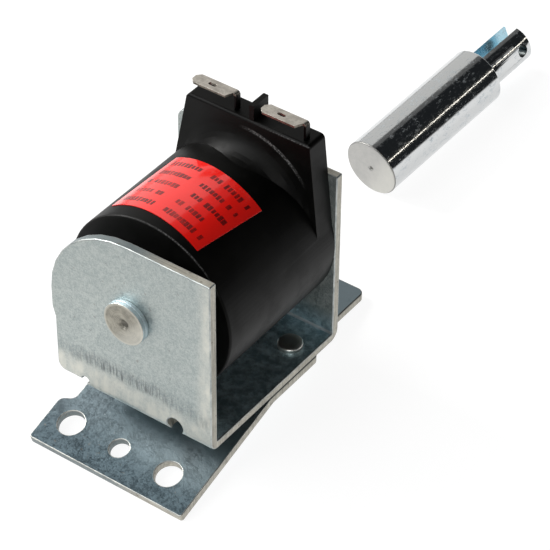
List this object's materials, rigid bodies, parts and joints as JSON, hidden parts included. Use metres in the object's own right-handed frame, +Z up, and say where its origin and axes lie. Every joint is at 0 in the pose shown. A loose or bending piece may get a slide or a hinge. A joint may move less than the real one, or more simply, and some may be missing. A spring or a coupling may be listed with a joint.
{
  "type": "pull solenoid",
  "caption": "Open-frame pull solenoid: black moulded coil in a bent zinc-plated frame on a riveted mounting plate, blade terminals, with its clevis plunger drawn out.",
  "frame": {"origin": "middle of the whole part's footprint, on the floor", "axes": "+Y from the front plate towards the drawn-out plunger, +X to the right seen from the front, +Z up"},
  "size_m": [0.061, 0.2296, 0.0934],
  "materials": {
    "zinc_frame": "zinc plated, satin",
    "zinc_plate": "zinc plated, slate grey, worn",
    "rivet_steel": "plated, polished by the rivet set",
    "core_steel": "turned and plated",
    "guide_brass": "drawn tube",
    "bobbin_nylon": "moulded",
    "copper_wire": "enamelled copper",
    "coil_tape": "polyester film",
    "wire_sleeve": "woven glass sleeve",
    "black_moulding": "satin",
    "tinned_blade": "tin plated, lightly brushed",
    "red_label": "glossy printed film",
    "bright_plunger": "nickel plated, bright, scratched"
  },
  "bodies": {
    "unit": {"u_frame": "zinc_frame", "mounting_plate": "zinc_plate", "rivet_left": "rivet_steel", "rivet_right": "rivet_steel", "fixed_core": "core_steel", "core_washer": "core_steel", "pole_shim": "guide_brass", "guide_tube": "guide_brass", "flux_bushing": "core_steel", "bobbin": "bobbin_nylon", "winding": "copper_wire", "insulation_tape": "coil_tape", "lead_start": "copper_wire", "lead_finish": "copper_wire", "sleeve_start": "wire_sleeve", "sleeve_finish": "wire_sleeve", "coil_housing": "black_moulding", "terminal_left": "tinned_blade", "terminal_right": "tinned_blade", "label": "red_label"},
    "plunger_body": {"plunger": "bright_plunger"}
  },
  "joints": [
    {"name": "plunger_stroke", "type": "slide", "parent": "unit", "child": "plunger_body", "axis": [-0.0958, -0.9954, 0], "range_m": [0, 0.025]}
  ]
}
